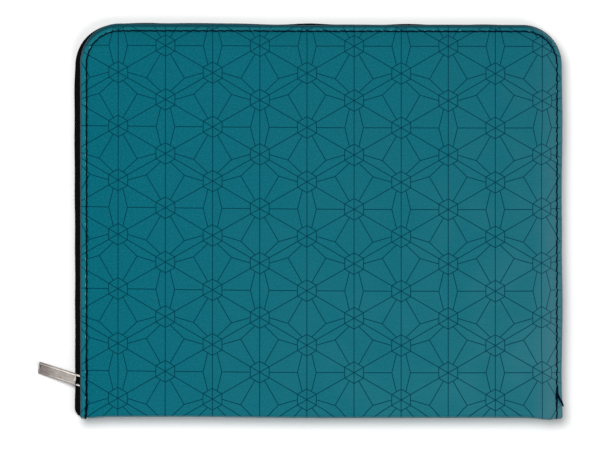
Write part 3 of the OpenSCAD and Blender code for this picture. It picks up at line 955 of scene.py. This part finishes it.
def pull_place():
    """Places the pull, drawn along +X from its pivot bar, at the CAD pull's rest position."""
    low, high = box_mm("zip_slider")
    middle = (TEETH_INSET - HALF_W, (low.y + high.y) / 2, MID_Z)
    to_slider = Matrix.Translation(middle) @ Matrix.Scale(-1, 4, (1, 0, 0))
    swung = (
        Matrix.Translation((LINK_PIVOT, 0, 0))
        @ Matrix.Rotation(PULL_SWING, 4, "Z")
        @ Matrix.Translation((PULL_PIVOT - LINK_PIVOT, 0, 0))
    )
    return to_slider @ swung @ Matrix.Rotation(PULL_DROOP, 4, "Y") @ Matrix.Rotation(PULL_ROLL, 4, "X")


def pull_tab():
    """The pull: a plate with a raised border and ribs, and an eye of two rails and a pivot bar."""
    b = Builder()
    half_w = PULL_W / 2
    corner = 0.35

    def face_height(l, w):
        """Height of the plate's face: a raised border round a sunk face with fine ribs along it."""
        edge = min(half_w - abs(w), PULL_L - l, l - EYE_END)
        rib = 0.07 * cos(TURN * w / 1.05) * ramp(1.1, 1.5, edge)
        return 0.5 + 0.3 * ramp(1.15, 0.75, edge) + rib - 0.16 * ramp(corner, 0.0, edge)

    def narrowed(l):
        """How much the plate's round end corners narrow it."""
        bite = max(corner - (PULL_L - l), 0.0)
        return (half_w - corner + sqrt(corner ** 2 - min(bite, corner) ** 2)) / half_w

    def bordered(low, high, middle):
        """Places from low to high, close together across the border at each end."""
        border = (0, 0.12, 0.3, 0.6, 0.8, 1.0, 1.2)
        return [low + d for d in border] + middle + [high - d for d in reversed(border)]

    tops, bottoms = [], []
    for l in bordered(EYE_END, PULL_L, spread(EYE_END + 1.6, PULL_L - 1.6, 16)):
        tops.append([])
        bottoms.append([])
        for w in bordered(-half_w, half_w, spread(-1.7, 1.7, 20)):
            h = face_height(l, w)
            tops[-1].append(b.point((l, w * narrowed(l), h), (l, w)))
            bottoms[-1].append(b.point((l, w * narrowed(l), -h), (l, w + 9)))
    b.sheet(bottoms, tops)

    # Rails beside the eye, and the pivot bar between them
    rail_w, rail_h = 0.9, 0.62
    for side in (-1, 1):
        middle = side * (half_w - rail_w / 2)
        rings = []
        for l, grow in ((-0.6, 0.55), (-0.45, 0.85), (0.0, 1.0), (1.8, 1.0), (3.6, 1.0), (5.4, 1.0)):
            ring = []
            for a in spread(0, TURN, 12)[:-1]:
                wide, tall = squared_circle(a, 1.25)
                w = middle + wide * rail_w / 2 * (0.6 + 0.4 * grow)
                ring.append(b.point((l, w, tall * rail_h * grow), (l, a)))
            rings.append(ring)
        b.pipe(rings)
    bar = [(0, w, 0) for w in spread(0.4 - half_w, half_w - 0.4, 12)]
    b.tube(bar, [0.58] * len(bar), sides=16)
    obj = b.piece("pull", BRUSHED, "nickel")
    face_outwards(obj)
    obj.matrix_world = Matrix.Scale(MM, 4) @ pull_place() @ Matrix.Scale(1 / MM, 4)
    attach(obj, "pull")
    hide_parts("pull_tab")


pull_tab()


def dress(node, material, bevel=0.0):
    """Gives a CAD node its material, and rounds its edges."""
    obj = frame["nodes"][node]
    obj.data.materials.clear()
    obj.data.materials.append(material)
    if bevel:
        obj.modifiers.new("weld", "WELD").merge_threshold = 0.00001
        round_it = obj.modifiers.new("bevel", "BEVEL")
        round_it.width = bevel * MM
        round_it.segments = 3
        round_it.limit_method = "ANGLE"
        round_it.angle_limit = radians(35)
        round_it.harden_normals = True


dress("zip_slider", NICKEL, 0.22)
dress("pull_link", NICKEL)
for side in ("front", "back"):
    dress(side + "_zip_stops", NICKEL, 0.3)
    dress(side + "_board", BOARD)
    dress(side + "_padding", FOAM)


# -------- inside


def cover_lining(side):
    """Lining of a cover with its half of the spine's lining, which lies into the fold."""
    inset, cloth_t = HEM_W + 0.1, 0.25
    half, radius, face_z = HALF_W - inset, CORNER_R - inset, TOP_Z - COVER_T - 0.06
    # Rows of (y, z, outward y, outward z, half width): up the spine, through the fold, then over the cover
    rows = [(FOLD_Y + 1.5, z, 1, 0, half) for z in spread(MID_Z, TOP_Z - 3.4, 4)]
    notch = [(1.55, 2.6, 1, 0), (1.75, 1.95, 0.8, -0.6), (2.3, 1.8, 0.0, -1.0), (3.0, 2.25, -0.6, -0.8),
             (4.2, 3.4, -0.7, -0.7), (5.3, 4.2, -0.5, -0.85)]
    rows += [(FOLD_Y + y, TOP_Z - depth, ny, nz, half) for y, depth, ny, nz in notch]
    rows += [(y, face_z, 0, -1, half) for y in np.arange(FOLD_Y + 6.4, CORNER_Y, 6.0)]
    for a in spread(0, QUARTER, 12):
        rows.append((CORNER_Y + radius * sin(a), face_z, 0, -1, CORNER_X + radius * cos(a)))
    b = Builder()
    outer, inner = [], []
    for (y, z, ny, nz, wide), run in zip(rows, running_length([row[:2] for row in rows])):
        outer.append([])
        inner.append([])
        for x in spread(-wide, wide, 24):
            outer[-1].append(b.point((x, y, z), (x, run)))
            inner[-1].append(b.point((x, y - ny * cloth_t, z - nz * cloth_t), (x, run + 400)))
    b.sheet(outer, inner)
    obj = b.piece(side + "_cover_lining", LINING, "lining_cloth", side)
    face_outwards(obj)
    bend_at_fold(obj, side)
    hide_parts(*nodes_of(side, "lining"))


def pocket(node, name, wave):
    """Sewn panel of a pocket, bound along its opening, with a crease of slack across it."""
    (x0, y0, z_face), (x1, y1, z_in) = box_mm(node)
    hem = (0, 0.25, 0.8, 2.2)
    xs = [x0 + d for d in hem] + spread(x0 + 3.4, x1 - 3.4, 24) + [x1 - d for d in reversed(hem)]
    ys = [y0 + d for d in hem] + spread(y0 + 3.4, y1 - 9.0, 16)
    ys += [y1 - d for d in (8.4, 8.1, 7.6, 4.5, 1.0, 0.35, 0)]

    def face_z(x, y):
        side = min(x - x0, x1 - x, y - y0)
        fall = z_in + (z_face - z_in) * (0.35 + 0.65 * ramp(0, 0.8, side))
        band = 0.25 * ramp(y1 - 8.4, y1 - 8.1, y)
        ripple = 0.3 * wave * sin((x - x0) * 0.07 + 1.3) * sin((y - y0) * 0.045)
        return fall + 0.25 - band - ripple * ramp(2, 14, side) + bump_at(side, 2.2, 0.5, 0.12)

    b = Builder()
    top, under = [], []
    for y in ys:
        top.append([b.point((x, y, face_z(x, y)), (x, y)) for x in xs])
        lift = 0.35 if y > y1 - 3 else 0.0
        under.append([b.point((x, y, z_in - lift), (x, y + 300)) for x in xs])
    b.sheet(under, top)
    obj = b.piece(name, LINING, "lining_cloth")
    face_outwards(obj)
    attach(obj, "front_cover")
    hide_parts(node)


def corner_strap(node, side_x, side_y):
    """Elastic band over one corner of the tablet, sewn down beside it at both ends."""
    low, high = box_mm(node)
    b = Builder()
    wall_x = high.x if side_x > 0 else low.x
    wall_y = high.y if side_y > 0 else low.y
    base, top = COVER_T, high.z
    width, thick, bend, sag = 12.0, 0.7, 1.2, 0.12
    reach = width * sqrt(0.5)
    middle = (high.x - low.x + high.y - low.y) / 2 - reach
    # The band's section: (distance in from the wall at one end, height)
    wall = [(0, z) for z in (base + 0.1, base + 2.5, base + 5, top - bend - 0.4)]
    turn = [(bend * (1 - cos(a)), top - bend + bend * sin(a)) for a in spread(0, QUARTER, 4)]
    rows = []
    for offset in spread(-reach, reach, 8):
        span = middle + offset
        over = [(bend + (span - 2 * bend) * t, top - sag * sin(pi * t)) for t in spread(0, 1, 12)[1:-1]]
        down = [(span - d, z) for d, z in turn[3::-1] + wall[::-1]]
        path = [
            (wall_x - side_x * d, wall_y - side_y * (span - d), z) for d, z in wall + turn[1:] + over + down
        ]
        rows.append([b.point(p, (run, offset)) for p, run in zip(path, running_length(path))])
    b.rows(rows)
    obj = b.piece(node.replace("strap", "elastic"), ELASTIC, "elastic")
    face_outwards(obj)
    if obj.data.polygons[len(obj.data.polygons) // 2].normal.z < 0:
        obj.data.flip_normals()
    solid = obj.modifiers.new("thickness", "SOLIDIFY")
    solid.thickness = thick * MM
    solid.offset = -1
    soft = obj.modifiers.new("soft", "SUBSURF")
    soft.levels = soft.render_levels = 1
    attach(obj, "back_cover")
    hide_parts(node)


def pen_loop():
    """Elastic band folded into a tube, with both ends sewn down as its foot."""
    low, high = box_mm("pen_loop")
    b = Builder()
    outer, inner, count = 5.5, 4.78, 30
    y, z = (low.y + high.y) / 2, high.z - outer
    # Left half of the foot: (across, height above the cover)
    foot = [(-4.5, 0.0), (-4.5, 0.6), (-4.2, 0.8), (-3.4, 0.95)]
    rings = []
    for i, x in enumerate(spread(low.x, high.x, count)):
        thinner = 0.08 if i in (0, count) else 0.0
        # Outside, from the foot's left end over the tube to its right end, then inside round the bore
        r = outer - thinner
        over = [(r * cos(a), z + r * sin(a)) for a in map(radians, spread(222, -42, 24))]
        profile = [(w, COVER_T + h) for w, h in foot] + over
        profile += [(-w, COVER_T + h) for w, h in reversed(foot)]
        ring = [b.point((x, y + w, h), (x, 8 + k * 1.2)) for k, (w, h) in enumerate(profile)]
        r = inner + thinner
        bore = [
            b.point((x, y + r * cos(a), z + r * sin(a)), (x, 60 + k * 1.2))
            for k, a in enumerate(map(radians, spread(-90, 270, 24)[:-1]))
        ]
        rings.append((ring, bore))
    b.rows([ring for ring, _ in rings], closed=True, flip=True)
    b.rows([bore for _, bore in rings], closed=True)
    obj = b.piece("elastic_pen_loop", ELASTIC, "elastic")
    face_outwards(obj, rims=(rings[0], rings[-1]))
    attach(obj, "back_cover")
    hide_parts("pen_loop")


for side in ("front", "back"):
    cover_lining(side)
pocket("document_pocket", "pocket_document", 0.35)
pocket("card_pocket_upper", "pocket_card_upper", 0.3)
pocket("card_pocket_lower", "pocket_card_lower", 0.3)
for row, side_y in (("top", 1), ("bottom", -1)):
    for column, side_x in (("left", -1), ("right", 1)):
        corner_strap(f"strap_{row}_{column}", side_x, side_y)
pen_loop()


# -------- floor, light and camera

def seen_ray(s):
    """1 where the camera sees the surface itself, in metal or through glass, and 0 elsewhere."""
    ray = s.node("LightPath", {}).socket.node.outputs
    return s.most(*(Value(s, ray["Is " + kind + " Ray"]) for kind in ("Camera", "Glossy", "Transmission")))


def floor():
    mesh = bpy.data.meshes.new("floor")
    mesh.from_pydata([(-6, -6, 0), (6, -6, 0), (6, 6, 0), (-6, 6, 0)], [], [(0, 1, 2, 3)])
    material = bpy.data.materials.new("floor_white")
    s = Nodes(material)
    tone = s.mix(seen_ray(s), (0.85, 0.85, 0.85, 1), (1.2, 1.2, 1.2, 1))
    s.surface(s.node("BsdfDiffuse", {"Color": tone}))
    mesh.materials.append(material)
    add_object("floor", mesh)


def world():
    made = bpy.data.worlds.new("studio")
    bpy.context.scene.world = made
    s = Nodes(made, "OutputWorld")
    sky, white = (s.node("Background", {"Color": (1, 1, 1, 1), "Strength": power}) for power in (0.2, 1.0))
    s.surface(s.node("MixShader", {"Fac": seen_ray(s), 1: sky, 2: white}))


def place_facing(obj, place, turn):
    obj.location = place
    obj.rotation_mode = "QUATERNION"
    obj.rotation_quaternion = turn


def area_light(name, place, size, power):
    """A round lamp that faces the middle of the case."""
    data = bpy.data.lights.new(name, "AREA")
    data.shape = "DISK"
    data.size = size
    data.energy = power
    place_facing(add_object(name, data), place, (-Vector(place)).to_track_quat("-Z", "Y"))


def camera():
    """Looks down at the closed case from just left of straight above, through a long lens."""
    lens, sensor, frame_w = 300.0, 36, 333.6
    target = Vector((-11.95, -2.2, TOP_Z)) * MM
    left, far = radians(2.0), radians(0.5)
    away = Vector((-sin(left), sin(far), cos(left))).normalized()
    right = Vector((0, 1, 0)).cross(away).normalized()
    turn = Matrix((right, away.cross(right), away)).transposed()
    data = bpy.data.cameras.new("camera")
    data.lens = lens
    data.sensor_width = sensor
    data.clip_end = 50
    obj = add_object("camera", data)
    place_facing(obj, target + away * (lens / sensor * frame_w * MM), turn.to_quaternion())
    bpy.context.scene.camera = obj


floor()
world()
area_light("key", (-0.23, 0.27, 1.85), 0.6, 20.5)
area_light("fill", (0.28, -0.25, 1.85), 0.35, 5.5)
camera()

bpy.context.scene.view_settings.view_transform = "Standard"
